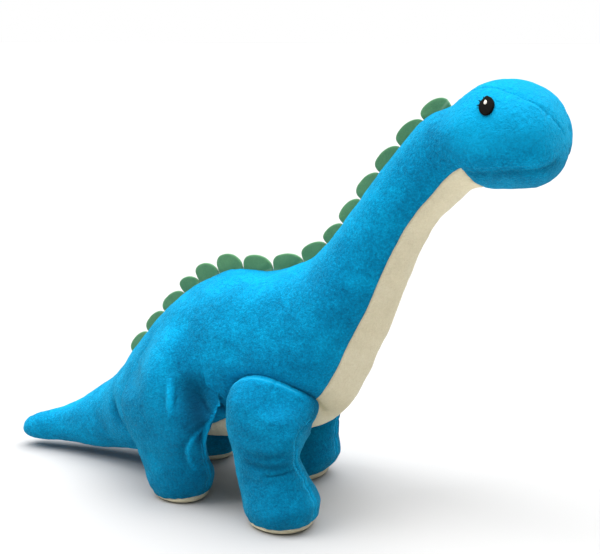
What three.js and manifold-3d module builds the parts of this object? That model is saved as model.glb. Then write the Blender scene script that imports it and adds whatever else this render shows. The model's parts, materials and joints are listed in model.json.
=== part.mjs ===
// A stuffed long-necked dinosaur. Millimetres, +Z up, +X towards the nose, the spine seam in the plane Y = 0.
// The toy stands on z = 0. Fabric panels are thin closed shells. The fibre filling is one solid for each
// limb, and it turns at the places where the stuffed toy bends.
import * as THREE from "three";
import { mergeVertices } from "three/addons/utils/BufferGeometryUtils.js";
import Module from "manifold-3d";

const wasm = await Module();
wasm.setup();

// ---- driving dimensions ----
const CLOTH = 2.2; // backing and pile together
const GAP = 0.4; // clearance between two pieces that touch on the real toy
const SEAM_GAP = 0.5; // clearance between the edges of two panels
const JOINT_GAP = 1.4; // clearance in a ball joint of the filling

// Rings of the toy, tail tip first and nose last: the top point (x, z) and bottom point (x, z) in the side
// view, the half width, and the sideways place of the centre.
const RINGS = [
  { top: [-335, 18], bottom: [-334, 14], side: 2, y: -24 },
  { top: [-329, 28], bottom: [-326, 8], side: 10.5, y: -22 },
  { top: [-316, 35], bottom: [-311, 7], side: 14.5, y: -19 },
  { top: [-289, 47], bottom: [-277, 8], side: 20, y: -11 },
  { top: [-257, 63], bottom: [-238, 9], side: 27, y: -4 },
  { top: [-228, 85], bottom: [-202, 12], side: 35, y: 0 },
  { top: [-203, 107], bottom: [-170, 17], side: 45, y: 0 },
  { top: [-178, 137], bottom: [-137, 31], side: 54, y: 0 },
  { top: [-148, 171], bottom: [-98, 48], side: 60, y: 0 },
  { top: [-115, 199], bottom: [-55, 56], side: 62, y: 0 },
  { top: [-82, 215], bottom: [-14, 63], side: 62, y: 0 },
  { top: [-52, 220], bottom: [22, 77], side: 60, y: 0 },
  { top: [-25, 223], bottom: [47, 98], side: 57, y: 0 },
  { top: [0, 231], bottom: [66, 128], side: 53, y: 0 },
  { top: [19, 242], bottom: [81, 162], side: 48, y: 0 },
  { top: [38, 261], bottom: [95, 194], side: 43, y: 0 },
  { top: [56, 285], bottom: [106, 226], side: 38.5, y: 0 },
  { top: [74, 309], bottom: [118.5, 256], side: 35, y: 0 },
  { top: [92, 332], bottom: [134, 280], side: 33.5, y: 0 },
  { top: [109, 352], bottom: [151, 298], side: 33.5, y: 0 },
  { top: [124, 368], bottom: [163, 310], side: 35, y: 0 },
  { top: [140, 381], bottom: [175, 313.5], side: 38.5, y: 0 },
  { top: [157, 391], bottom: [188, 312], side: 42.5, y: 0 },
  { top: [178, 400], bottom: [201, 311.5], side: 45.5, y: 0 },
  { top: [200, 404], bottom: [215, 313], side: 46, y: 0 },
  { top: [218, 399.5], bottom: [226, 318], side: 43, y: 0 },
  { top: [232, 387], bottom: [236, 326.5], side: 35.5, y: 0 },
  { top: [240.5, 371], bottom: [242, 338], side: 23.5, y: 0 },
  { top: [243.5, 356], bottom: [243.5, 351], side: 4, y: 0 },
];

// Places where the filling turns, as ring numbers, and how far short of each place the filling before it
// stops.
const TAIL_TIP = { ring: 3, setBack: 0.55 };
const TAIL_ROOT = { ring: 5, setBack: 0.75 };
const NECK_BASE = { ring: 14, setBack: 0.7 };
const NECK_MID = { ring: 17, setBack: 0.7 };
const HEAD_BASE = { ring: 20, setBack: 0.75 };
const BALL_SHARE = 0.78; // of the filling's half width at the joint

// Half the angle of the panels between the two side panels, as [ring, degrees]: along the underside the cream
// front panel and then the chin panel, and on top of the head the forehead gusset.
const FRONT_PANEL = { from: 6.75, to: 21.25 };
const CHIN_PANEL = { from: 21.25, to: 28 };
const GUSSET = { from: 22, to: 28 };
const UNDER_ANGLE = [
  [6.5, 0],
  [7, 14],
  [8, 36],
  [9.25, 49],
  [10.5, 46],
  [12, 42],
  [14, 47],
  [17, 50],
  [20, 56],
  [21.25, 63],
  [22, 61],
  [24, 59],
  [26, 52],
  [28, 45],
];
const GUSSET_ANGLE = [
  [21.5, 0],
  [22, 10],
  [24, 32],
  [25, 42],
  [26, 44],
  [28, 32],
];

// Legs: levels from the top of the panels to the seam above the sole. rear and front are x, inner and outer
// are distances from the plane of the spine.
const FRONT_LEG = [
  { z: 143, rear: -6, front: 18, inner: 63, outer: 69 },
  { z: 139, rear: -22, front: 38, inner: 62.5, outer: 73 },
  { z: 131, rear: -34, front: 50, inner: 62.5, outer: 78 },
  { z: 117, rear: -40, front: 53, inner: 62.5, outer: 84 },
  { z: 99, rear: -36, front: 47, inner: 60, outer: 87.5 },
  { z: 80, rear: -31, front: 37, inner: 54, outer: 88.5 },
  { z: 62, rear: -29, front: 34, inner: 44, outer: 86 },
  { z: 44, rear: -28, front: 41, inner: 33, outer: 87 },
  { z: 26, rear: -25, front: 49.5, inner: 25.5, outer: 89.5 },
  { z: 14, rear: -22, front: 49, inner: 24, outer: 89.5 },
  { z: 6, rear: -19, front: 46, inner: 25.5, outer: 87 },
];
const HIND_LEG = [
  { z: 143, rear: -124, front: -98, inner: 63, outer: 70 },
  { z: 137, rear: -141, front: -80, inner: 63, outer: 74 },
  { z: 127, rear: -153, front: -66, inner: 63, outer: 79 },
  { z: 112, rear: -160, front: -56, inner: 63, outer: 84 },
  { z: 94, rear: -158, front: -50, inner: 62, outer: 87 },
  { z: 76, rear: -153, front: -62, inner: 57.5, outer: 87 },
  { z: 60, rear: -149, front: -67, inner: 52, outer: 85 },
  { z: 46, rear: -145, front: -70, inner: 42.5, outer: 82 },
  { z: 28, rear: -140, front: -68, inner: 28, outer: 80.5 },
  { z: 14, rear: -136, front: -71, inner: 24, outer: 79.5 },
  { z: 6, rear: -132, front: -74, inner: 25.5, outer: 77 },
];
// How far back each leg is sewn, how much further back its foot stands, and how far the top is turned with
// it.
const LEGS = {
  front_right: { levels: FRONT_LEG, mirror: 1, back: 0, lean: 0, tilt: 0 },
  front_left: { levels: FRONT_LEG, mirror: -1, back: 7, lean: 32, tilt: 0.5 },
  hind_right: { levels: HIND_LEG, mirror: 1, back: 0, lean: 0, tilt: 0 },
  hind_left: { levels: HIND_LEG, mirror: -1, back: 4, lean: 34, tilt: 0.15 },
};
const LEAN_POWER = 0.75;
// Outline of the sole, from its flat underside to its seam: share of the leg's outline, and height.
const SOLE_PROFILE = [
  [0.84, 0],
  [0.95, 1.2],
  [1, 5.5],
];

// Crest: felt scallops in the spine seam, from the rump to the nape, with their tips towards the tail.
// Widths include the space to the next scallop, and heights are [number, mm].
const CREST_FROM_X = -197;
const SCALLOP_WIDTHS = [33, 32, 33, 23, 26, 29, 33.5, 34.5, 31, 26, 29, 30.5, 30.5, 31, 28];
const SCALLOP_LEAN = 4;
const SCALLOP_HEIGHT = [
  [1, 11],
  [3, 10.5],
  [5, 13],
  [6, 14],
  [9, 11.5],
  [10, 9.5],
  [12, 10.5],
  [14, 11],
  [15, 9.5],
];
const SCALLOP_SPACE = 1.2;
const SCALLOP_LIFT = 0.7; // above the spine seam
const FELT = 3;

// Embroidered eyes: where the middle sits on the head's rings, and the half sizes.
const EYE = { ring: 23.3, angle: 55, long: 5.6, tall: 7.4, thick: 1.1 };
const GLINT = { back: 1.4, up: 2.6, long: 1.5, tall: 2, thick: 0.7 };
const LASH = { from: 100, to: 200, rootShare: 1.12, tipShare: 1.55, count: 3 };

const BLUE = new THREE.MeshStandardMaterial({ color: 0x1d9fd4, roughness: 0.95, metalness: 0 });
const CREAM = new THREE.MeshStandardMaterial({ color: 0xdcd4b4, roughness: 0.95, metalness: 0 });
const GREEN = new THREE.MeshStandardMaterial({ color: 0x4e9160, roughness: 0.95, metalness: 0 });
const BLACK = new THREE.MeshStandardMaterial({ color: 0x1c1a17, roughness: 0.6, metalness: 0 });
const WHITE = new THREE.MeshStandardMaterial({ color: 0xf2ecdc, roughness: 0.6, metalness: 0 });
const FIBRE = new THREE.MeshStandardMaterial({ color: 0xf3f3ef, roughness: 1, metalness: 0 });

// ---- curves and surfaces ----
const deg = THREE.MathUtils.degToRad;

// The value at place t of a row of equally spaced numbers, on a smooth curve through them.
function smooth(values, t) {
  const last = values.length - 1;
  const i = Math.min(Math.max(Math.floor(t), 0), last - 1);
  const f = t - i;
  const [p0, p1, p2, p3] = [-1, 0, 1, 2].map((k) => values[Math.min(Math.max(i + k, 0), last)]);
  const slope1 = i === 0 ? p2 - p1 : (p2 - p0) / 2;
  const slope2 = i + 2 > last ? p2 - p1 : (p3 - p1) / 2;
  const f2 = f * f;
  const f3 = f2 * f;
  const fromValues = (2 * f3 - 3 * f2 + 1) * p1 + (3 * f2 - 2 * f3) * p2;
  return fromValues + (f3 - 2 * f2 + f) * slope1 + (f3 - f2) * slope2;
}

// The value at x of a table of [x, value] pairs, straight between them.
function lookup(table, x) {
  const next = table.findIndex(([at]) => at >= x);
  if (next <= 0) return table[next === 0 ? 0 : table.length - 1][1];
  const [[x0, v0], [x1, v1]] = [table[next - 1], table[next]];
  return v0 + ((v1 - v0) * (x - x0)) / (x1 - x0);
}

// The surface through rings, with the angle counted from the top towards the right side.
function ringSurface(rings) {
  const rows = {
    tx: rings.map((r) => r.top[0]),
    tz: rings.map((r) => r.top[1]),
    bx: rings.map((r) => r.bottom[0]),
    bz: rings.map((r) => r.bottom[1]),
    side: rings.map((r) => r.side),
    y: rings.map((r) => r.y),
  };
  const at = (u) => Object.fromEntries(Object.entries(rows).map(([key, row]) => [key, smooth(row, u)]));
  const centre = (u) => {
    const r = at(u);
    return new THREE.Vector3((r.tx + r.bx) / 2, r.y, (r.tz + r.bz) / 2);
  };
  const half = (u) => {
    const r = at(u);
    return Math.hypot(r.tx - r.bx, r.tz - r.bz) / 2;
  };
  const point = (u, angle) => {
    const r = at(u);
    const up = Math.cos(angle) / 2;
    return new THREE.Vector3(
      (r.tx + r.bx) / 2 + (r.tx - r.bx) * up,
      r.y - r.side * Math.sin(angle),
      (r.tz + r.bz) / 2 + (r.tz - r.bz) * up,
    );
  };
  return { point, centre, half, last: rings.length - 1 };
}

// The surface of a leg, from its top level down, with the angle counted from the front towards the outside.
function legSurface({ levels, mirror, back, lean, tilt }) {
  const keys = ["z", "rear", "front", "inner", "outer"];
  const rows = Object.fromEntries(keys.map((key) => [key, levels.map((level) => level[key])]));
  const top = levels[0].z;
  const at = (u) => Object.fromEntries(keys.map((key) => [key, smooth(rows[key], u)]));
  const centre = (u) => {
    const l = at(u);
    const shift = back + lean * Math.max(1 - l.z / top, 0) ** LEAN_POWER;
    return new THREE.Vector3((l.front + l.rear) / 2 - shift, (-mirror * (l.outer + l.inner)) / 2, l.z);
  };
  const point = (u, angle) => {
    const l = at(u);
    const p = centre(u);
    const ahead = ((l.front - l.rear) / 2) * Math.cos(angle);
    p.x += ahead;
    p.z -= ahead * tilt * (l.z / top) ** 2;
    p.y -= mirror * ((l.outer - l.inner) / 2) * Math.sin(angle);
    return p;
  };
  return { point, centre, last: levels.length - 1 };
}

// The point of a surface moved inwards by a depth, square to the surface.
function inside(surface, u, angle, depth) {
  const p = surface.point(u, angle);
  if (depth === 0) return p;
  const step = 0.02;
  const along = surface.point(Math.min(u + step, surface.last), angle);
  along.sub(surface.point(Math.max(u - step, 0), angle));
  const around = surface.point(u, angle + step).sub(surface.point(u, angle - step));
  const normal = along.cross(around).normalize();
  const inwards = Math.sign(normal.dot(surface.centre(u).sub(p))) || 1;
  return p.addScaledVector(normal, depth * inwards);
}

// ---- closed geometry from points ----

// A geometry facing outwards, with points that coincide joined and triangles without area left out.
function geometryOf(points, triangles) {
  const position = points.flatMap((p) => [p.x, p.y, p.z]);
  const raw = new THREE.BufferGeometry();
  raw.setAttribute("position", new THREE.Float32BufferAttribute(position, 3));
  raw.setIndex(triangles);
  const g = mergeVertices(raw, 1e-3);
  const index = g.getIndex().array;
  const kept = [];
  for (let i = 0; i < index.length; i += 3) {
    const [a, b, c] = index.slice(i, i + 3);
    if (a !== b && b !== c && c !== a) kept.push(a, b, c);
  }
  const [a, b, c] = [new THREE.Vector3(), new THREE.Vector3(), new THREE.Vector3()];
  const place = g.getAttribute("position");
  let volume = 0;
  for (let i = 0; i < kept.length; i += 3) {
    a.fromBufferAttribute(place, kept[i]);
    b.fromBufferAttribute(place, kept[i + 1]);
    c.fromBufferAttribute(place, kept[i + 2]);
    volume += a.dot(b.cross(c));
  }
  g.setIndex(volume < 0 ? kept.reverse() : kept);
  return g;
}

// A closed form through closed rings of points, with a fan of triangles over each end.
function loft(rings) {
  const n = rings[0].length;
  const points = rings.flat();
  const triangles = [];
  for (let r = 0; r < rings.length - 1; r++) {
    for (let i = 0; i < n; i++) {
      const a = r * n + i;
      const b = r * n + ((i + 1) % n);
      triangles.push(a, b, b + n, a, b + n, a + n);
    }
  }
  const middle = (ring) => ring.reduce((sum, p) => sum.add(p), new THREE.Vector3()).divideScalar(n);
  const first = points.push(middle(rings[0])) - 1;
  const end = points.push(middle(rings.at(-1))) - 1;
  const base = (rings.length - 1) * n;
  for (let i = 0; i < n; i++) {
    const next = (i + 1) % n;
    triangles.push(first, next, i, end, base + i, base + next);
  }
  return geometryOf(points, triangles);
}

// A sheet: a grid of points outside and a grid of points inside, closed along its four edges.
function sheet(us, columns, pointAt) {
  const rows = us.length - 1;
  const points = [];
  for (const layer of [0, 1]) {
    for (const u of us) for (let c = 0; c <= columns; c++) points.push(pointAt(u, c / columns, layer));
  }
  const id = (r, c, layer) => (layer * us.length + r) * (columns + 1) + c;
  const triangles = [];
  const quad = (a, b, c, d) => triangles.push(a, b, c, a, c, d);
  for (let r = 0; r < rows; r++) {
    for (let c = 0; c < columns; c++) {
      quad(id(r, c, 0), id(r, c + 1, 0), id(r + 1, c + 1, 0), id(r + 1, c, 0));
      triangles.push(id(r, c, 1), id(r + 1, c + 1, 1), id(r, c + 1, 1));
      triangles.push(id(r, c, 1), id(r + 1, c, 1), id(r + 1, c + 1, 1));
    }
    quad(id(r, 0, 0), id(r + 1, 0, 0), id(r + 1, 0, 1), id(r, 0, 1));
    quad(id(r + 1, columns, 0), id(r, columns, 0), id(r, columns, 1), id(r + 1, columns, 1));
  }
  for (let c = 0; c < columns; c++) {
    quad(id(0, c + 1, 0), id(0, c, 0), id(0, c, 1), id(0, c + 1, 1));
    quad(id(rows, c, 0), id(rows, c + 1, 0), id(rows, c + 1, 1), id(rows, c, 1));
  }
  return geometryOf(points, triangles);
}

// Evenly spaced numbers from one value to another.
function spread(from, to, step) {
  const count = Math.round((to - from) / step);
  return Array.from({ length: count + 1 }, (_, i) => from + ((to - from) * i) / count);
}

// ---- solids that are joined or cut ----
function solidOf(geometry) {
  const properties = geometry.getAttribute("position").array;
  const triangles = geometry.index.array;
  return new wasm.Manifold(
    new wasm.Mesh({
      numProp: 3,
      vertProperties: new Float32Array(properties),
      triVerts: new Uint32Array(triangles),
    }),
  );
}

function geometryFrom(solid) {
  const { vertProperties, triVerts } = solid.getMesh();
  const g = new THREE.BufferGeometry();
  g.setAttribute("position", new THREE.Float32BufferAttribute(vertProperties, 3));
  g.setIndex([...triVerts]);
  return g;
}

function ball(centre, radius) {
  return wasm.Manifold.sphere(radius, 20).translate([centre.x, centre.y, centre.z]);
}

// ---- the object ----
const toy = new THREE.Group();

function add(name, geometry, material) {
  const mesh = new THREE.Mesh(geometry, material.clone());
  mesh.name = name;
  toy.add(mesh);
}

const skin = ringSurface(RINGS);
const underAngle = (u) => deg(lookup(UNDER_ANGLE, u));
const gussetAngle = (u) => deg(lookup(GUSSET_ANGLE, u));

const ROWS = [...spread(0, 20, 0.5), CHIN_PANEL.from, ...spread(22, 28, 1)];
const SIDE_COLUMNS = 5;
const STRIP_COLUMNS = 4;
const FILL_DEPTH = CLOTH + GAP;
const TURN = 2 * Math.PI;

// The four strips around the toy: first and last angle at a ring, and how many columns each has.
const RIGHT = { from: gussetAngle, to: (u) => Math.PI - underAngle(u), columns: SIDE_COLUMNS };
const UNDER = { from: RIGHT.to, to: (u) => Math.PI + underAngle(u), columns: STRIP_COLUMNS };
const LEFT = { from: UNDER.to, to: (u) => TURN - gussetAngle(u), columns: SIDE_COLUMNS };
const TOP = { from: LEFT.to, to: (u) => TURN + gussetAngle(u), columns: STRIP_COLUMNS };

// The rows from one ring to another, without rows that lie close to either end.
function rowsBetween(from, to) {
  return [from, ...ROWS.filter((u) => u > from + 0.1 && u < to - 0.1), to];
}

function addPanel(name, strip, from, to, material) {
  const shape = sheet(rowsBetween(from, to), strip.columns, (u, share, layer) => {
    const margin = SEAM_GAP / skin.half(u);
    const a0 = strip.from(u) + margin;
    const a1 = strip.to(u) - margin;
    return inside(skin, u, a0 + share * (a1 - a0), layer * CLOTH);
  });
  add(name, shape, material);
}

// The filling between two rings, with its corners where the panels have theirs.
function fillingBetween(from, to) {
  const rings = rowsBetween(from, to).map((u) =>
    [RIGHT, UNDER, LEFT, TOP].flatMap((strip) =>
      Array.from({ length: strip.columns }, (_, c) => {
        const angle = strip.from(u) + ((strip.to(u) - strip.from(u)) * c) / strip.columns;
        return inside(skin, u, angle, FILL_DEPTH);
      }),
    ),
  );
  return solidOf(loft(rings));
}

function addFilling() {
  const radius = ({ ring }) => (Math.min(skin.half(ring), RINGS[ring].side) - FILL_DEPTH) * BALL_SHARE;
  const knob = (joint) => ball(skin.centre(joint.ring), radius(joint));
  const seat = (joint) => ball(skin.centre(joint.ring), radius(joint) + JOINT_GAP);

  const trunk = fillingBetween(TAIL_ROOT.ring + TAIL_ROOT.setBack, NECK_BASE.ring - NECK_BASE.setBack);
  add("trunk_filling", geometryFrom(trunk.subtract(seat(TAIL_ROOT)).subtract(seat(NECK_BASE))), FIBRE);

  const neckLower = fillingBetween(NECK_BASE.ring, NECK_MID.ring - NECK_MID.setBack);
  add("neck_lower_filling", geometryFrom(neckLower.add(knob(NECK_BASE)).subtract(seat(NECK_MID))), FIBRE);

  const neckUpper = fillingBetween(NECK_MID.ring, HEAD_BASE.ring - HEAD_BASE.setBack);
  add("neck_upper_filling", geometryFrom(neckUpper.add(knob(NECK_MID)).subtract(seat(HEAD_BASE))), FIBRE);

  const head = fillingBetween(HEAD_BASE.ring, skin.last - 0.9);
  add("head_filling", geometryFrom(head.add(knob(HEAD_BASE))), FIBRE);

  const tailRoot = fillingBetween(TAIL_TIP.ring + TAIL_TIP.setBack, TAIL_ROOT.ring);
  add("tail_root_filling", geometryFrom(tailRoot.add(knob(TAIL_ROOT)).subtract(seat(TAIL_TIP))), FIBRE);

  const tailTip = fillingBetween(0.5, TAIL_TIP.ring);
  add("tail_tip_filling", geometryFrom(tailTip.add(knob(TAIL_TIP))), FIBRE);
}

const LEG_COLUMNS = 6;

function addLeg(name, leg) {
  const surface = legSurface(leg);
  const us = spread(0, surface.last, 1);
  for (const [panel, outwards] of [["outer", 1], ["inner", -1]]) {
    const shape = sheet(us, LEG_COLUMNS, (u, share, layer) => {
      const p = inside(surface, u, Math.PI * (outwards > 0 ? share : 1 + share), layer * CLOTH);
      const seam = surface.centre(u).y;
      const towards = -leg.mirror * outwards;
      p.y = seam + towards * Math.max(towards * (p.y - seam), SEAM_GAP);
      return p;
    });
    add(`${name}_leg_${panel}`, shape, BLUE);
  }

  const outline = (share, z, depth) => {
    const ring = [];
    const middle = surface.centre(surface.last);
    for (let c = 0; c < 2 * LEG_COLUMNS; c++) {
      const p = surface.point(surface.last, (TURN * c) / (2 * LEG_COLUMNS));
      const out = p.clone().sub(middle);
      const length = out.length();
      const q = middle.clone().addScaledVector(out, (share * length - depth) / length);
      ring.push(new THREE.Vector3(q.x, q.y, z));
    }
    return ring;
  };
  const under = SOLE_PROFILE.map(([share, z]) => outline(share, z, 0));
  const over = SOLE_PROFILE.map(([share, z]) => outline(share, Math.max(z, CLOTH), CLOTH)).reverse();
  add(`${name}_sole`, loft([...under, ...over]), CREAM);

  const rings = [];
  for (const u of us.slice(1)) {
    const ring = [];
    for (let c = 0; c < 2 * LEG_COLUMNS; c++) {
      ring.push(inside(surface, u, (TURN * c) / (2 * LEG_COLUMNS), FILL_DEPTH));
    }
    rings.push(ring);
  }
  rings.push(outline(0.82, CLOTH + GAP, FILL_DEPTH));
  add(`${name}_leg_filling`, loft(rings), FIBRE);
}

// The ring number at a distance along the back from the place where the crest starts.
function alongBack() {
  const fine = spread(0, skin.last, 0.05).map((u) => ({ u, p: skin.point(u, 0) }));
  const start = fine.findIndex(({ p }) => p.x >= CREST_FROM_X);
  let length = 0;
  const table = [[0, fine[start].u]];
  for (let i = start + 1; i < fine.length; i++) {
    length += fine[i].p.distanceTo(fine[i - 1].p);
    table.push([length, fine[i].u]);
  }
  return (distance) => lookup(table, distance);
}

function addCrest() {
  const placeAt = alongBack();
  const corners = 10;
  const base = 4;
  let start = 0;
  for (const [i, pitch] of SCALLOP_WIDTHS.entries()) {
    const from = start + SCALLOP_SPACE / 2;
    const width = pitch - SCALLOP_SPACE;
    const height = lookup(SCALLOP_HEIGHT, i + 1);
    const outline = [];
    for (let k = 0; k <= base; k++) outline.push([from + (width * k) / base, SCALLOP_LIFT]);
    for (let k = corners - 1; k > 0; k--) {
      const turn = (Math.PI * k) / corners;
      const rise = Math.sin(turn) ** 0.85;
      const along = from + width * (0.5 - 0.5 * Math.cos(turn)) - SCALLOP_LEAN * rise ** 2;
      outline.push([along, SCALLOP_LIFT + height * rise]);
    }
    const ringAt = (y) =>
      outline.map(([along, above]) => {
        const p = inside(skin, placeAt(along), 0, -above);
        p.y = y;
        return p;
      });
    const number = String(i + 1).padStart(2, "0");
    add(`crest_scallop_${number}`, loft([ringAt(-FELT / 2), ringAt(FELT / 2)]), GREEN);
    start += pitch;
  }
}

// The point on the side of the head that is some mm behind and above the middle of the eye, and some mm off
// the surface.
function onHead(side) {
  const a0 = deg(EYE.angle);
  const perRing = skin.point(EYE.ring + 0.5, a0).distanceTo(skin.point(EYE.ring - 0.5, a0));
  const perRadian = skin.point(EYE.ring, a0 + 0.5).distanceTo(skin.point(EYE.ring, a0 - 0.5));
  return (back, up, height) => inside(skin, EYE.ring - back / perRing, side * (a0 - up / perRadian), -height);
}

function addEye(name, side) {
  const at = onHead(side);
  const sides = 16;
  const oval = (share, back, up, long, tall, height) => {
    const ring = [];
    for (let i = 0; i < sides; i++) {
      const turn = (TURN * i) / sides;
      ring.push(at(back + share * long * Math.cos(turn), up + share * tall * Math.sin(turn), height));
    }
    return ring;
  };
  const dome = (back, up, long, tall, low, high) =>
    loft([
      oval(0.5, back, up, long, tall, high),
      oval(0.88, back, up, long, tall, (low + 3 * high) / 4),
      oval(1, back, up, long, tall, low),
      oval(0.5, back, up, long, tall, low),
    ]);
  const top = GAP + EYE.thick;
  add(`eye_${name}`, dome(0, 0, EYE.long, EYE.tall, GAP, top), BLACK);
  const { back, up, long, tall, thick } = GLINT;
  add(`eye_glint_${name}`, dome(back, up, long, tall, top + GAP, top + GAP + thick), WHITE);

  const rows = spread(0, LASH.count * 4, 1);
  const lash = sheet(rows, 1, (row, share, layer) => {
    const turn = deg(LASH.from + ((LASH.to - LASH.from) * row) / (LASH.count * 4));
    const tip = row % 4 === 2 ? LASH.tipShare : LASH.rootShare + 0.14;
    const reach = LASH.rootShare + share * (tip - LASH.rootShare);
    return at(-reach * EYE.long * Math.cos(turn), reach * EYE.tall * Math.sin(turn), GAP + (1 - layer) * 0.7);
  });
  add(`eye_lashes_${name}`, lash, BLACK);
}

addFilling();
addPanel("side_panel_right", RIGHT, 0, skin.last, BLUE);
addPanel("side_panel_left", LEFT, 0, skin.last, BLUE);
addPanel("front_panel", UNDER, FRONT_PANEL.from, FRONT_PANEL.to - 0.02, CREAM);
addPanel("chin_panel", UNDER, CHIN_PANEL.from + 0.02, CHIN_PANEL.to, BLUE);
addPanel("forehead_gusset", TOP, GUSSET.from, GUSSET.to, BLUE);
for (const [name, leg] of Object.entries(LEGS)) addLeg(name, leg);
addCrest();
addEye("right", 1);
addEye("left", -1);

// The origin is on the ground, below the middle of the toy.
const extent = new THREE.Box3().setFromObject(toy);
const middle = extent.getCenter(new THREE.Vector3());
for (const mesh of toy.children) mesh.geometry.translate(-middle.x, -middle.y, -extent.min.z);

export default toy;
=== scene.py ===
import json
import math

import bpy
import numpy as np
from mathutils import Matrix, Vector


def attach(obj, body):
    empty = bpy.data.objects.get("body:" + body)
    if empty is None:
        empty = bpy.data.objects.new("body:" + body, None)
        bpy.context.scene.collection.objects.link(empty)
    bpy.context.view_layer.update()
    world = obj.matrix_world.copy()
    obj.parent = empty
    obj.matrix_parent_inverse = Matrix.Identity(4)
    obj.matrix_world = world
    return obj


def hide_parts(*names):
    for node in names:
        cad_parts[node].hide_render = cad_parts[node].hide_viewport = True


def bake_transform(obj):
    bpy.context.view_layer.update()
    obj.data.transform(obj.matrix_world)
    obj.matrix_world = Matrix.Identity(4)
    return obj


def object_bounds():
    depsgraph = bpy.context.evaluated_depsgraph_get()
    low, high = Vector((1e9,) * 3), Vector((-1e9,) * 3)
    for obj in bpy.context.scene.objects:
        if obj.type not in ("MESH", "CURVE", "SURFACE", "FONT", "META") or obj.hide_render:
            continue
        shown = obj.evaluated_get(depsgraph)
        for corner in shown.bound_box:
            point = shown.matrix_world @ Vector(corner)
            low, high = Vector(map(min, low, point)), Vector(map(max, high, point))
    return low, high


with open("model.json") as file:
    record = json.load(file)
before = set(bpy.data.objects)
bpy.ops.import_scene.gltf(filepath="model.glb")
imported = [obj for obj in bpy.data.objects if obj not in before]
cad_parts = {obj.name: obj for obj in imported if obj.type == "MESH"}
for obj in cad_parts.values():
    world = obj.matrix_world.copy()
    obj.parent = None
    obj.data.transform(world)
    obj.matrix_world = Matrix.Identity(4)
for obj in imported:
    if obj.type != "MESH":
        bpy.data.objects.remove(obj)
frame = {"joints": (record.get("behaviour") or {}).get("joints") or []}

CAD_LOW, CAD_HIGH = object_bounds()
MM = 0.001
TURN = 2 * math.pi
FINE = 1.0  # how much coarser the cloth's grid is in a trial

# ---- the body's rings, tail tip first: top x and z, bottom x and z, half width, sideways place ----
RINGS = np.array([
    [-335, 18, -334, 14, 2, -24],
    [-329, 28, -326, 8, 10.5, -22],
    [-316, 35, -311, 7, 14.5, -19],
    [-289, 47, -277, 8, 20, -11],
    [-257, 63, -238, 9, 27, -4],
    [-228, 85, -202, 12, 35, 0],
    [-203, 107, -170, 17, 45, 0],
    [-178, 137, -137, 31, 54, 0],
    [-148, 171, -98, 48, 60, 0],
    [-115, 199, -55, 56, 62, 0],
    [-82, 215, -14, 63, 62, 0],
    [-52, 220, 22, 77, 60, 0],
    [-25, 223, 47, 98, 57, 0],
    [0, 231, 66, 128, 53, 0],
    [19, 242, 81, 162, 48, 0],
    [38, 261, 95, 194, 43, 0],
    [56, 285, 106, 226, 38.5, 0],
    [74, 309, 118.5, 256, 35, 0],
    [92, 332, 134, 280, 33.5, 0],
    [109, 352, 151, 298, 33.5, 0],
    [124, 368, 163, 310, 35, 0],
    [140, 381, 175, 313.5, 38.5, 0],
    [157, 391, 188, 312, 42.5, 0],
    [178, 400, 201, 311.5, 45.5, 0],
    [200, 404, 215, 313, 46, 0],
    [218, 399.5, 226, 318, 43, 0],
    [232, 387, 236, 326.5, 35.5, 0],
    [240.5, 371, 242, 338, 23.5, 0],
    [243.5, 356, 243.5, 351, 4, 0],
], float)
MIDDLE_X = CAD_HIGH.x / MM - RINGS[-1, 0]  # from the rings' x to the frame's
RINGS[:, [0, 2]] += MIDDLE_X
LAST_RING = len(RINGS) - 1

# Half the angle of the strip under the body and of the gusset on the head, as [ring, degrees].
UNDER_ANGLE = np.array([
    [6.5, 0], [7, 14], [8, 36], [9.25, 49], [10.5, 46], [12, 42], [14, 47], [17, 50],
    [20, 56], [21.25, 63], [22, 61], [24, 59], [26, 52], [28, 45],
])
GUSSET_ANGLE = np.array([[21.5, 0], [22, 12], [24, 36], [25, 43], [26, 44], [28, 36]])
CREAM_FROM, CREAM_TO = 6.5, 21.25  # rings where the cream panel starts and the chin panel takes over
GUSSET_FROM = 21.5
RING_PITCH = 20.5  # about how many mm lie between two rings, for the gathers along a seam

# Stretches of the body's skin, each made as its own pieces around one joint.
STRETCHES = [
    {"name": "tail_end", "rings": (0, 3.9), "joint": "tail_lift", "at": 3, "reach": (0.014, 0.02)},
    {"name": "tail_base", "rings": (3.9, 9), "joint": "tail_wag", "at": 5, "reach": (0.03, 0.03)},
    {"name": "neck_base", "rings": (9, 15.6), "joint": "neck_nod", "at": 14, "reach": (0.038, 0.038)},
    {"name": "neck_top", "rings": (15.6, 18.6), "joint": "neck_sway", "at": 17, "reach": (0.036, 0.038)},
    {"name": "head", "rings": (18.6, 28), "joint": "head_nod", "at": 20, "reach": (0.022, 0.024)},
]

# ---- the legs ----
# The outline where a leg's top is sewn to the side of the body, from the back edge over the top to the front
# edge, as x and z. Levels below it: z, back x, front x, inner and outer distance from the spine's plane.
FRONT_LEG = {
    "outline": [(-38, 104), (-37.5, 116), (-34, 126), (-27, 132.5), (-16, 136), (-3, 136.5), (10, 133.5),
                (22, 129), (32, 123.5), (38.5, 116.5), (41, 108), (41.5, 102)],
    "levels": [(100, -37.5, 41.5, 60, 87.5), (90, -34, 39.5, 57.5, 88.5), (80, -31, 37, 54, 88.5),
               (62, -29, 34, 44, 86), (44, -28, 41, 33, 87), (26, -25, 49.5, 25.5, 89.5),
               (14, -22, 49, 24, 89.5), (6, -19, 46, 25.5, 87), (3.0, -17, 43.5, 27.5, 85)],
    "crown": [(100, 87.5), (117, 84), (131, 79), (139, 75)],
    "edge": 24,
    "flat": 40,
    "merges": False,
    "hug": (90, 116),
}
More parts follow.
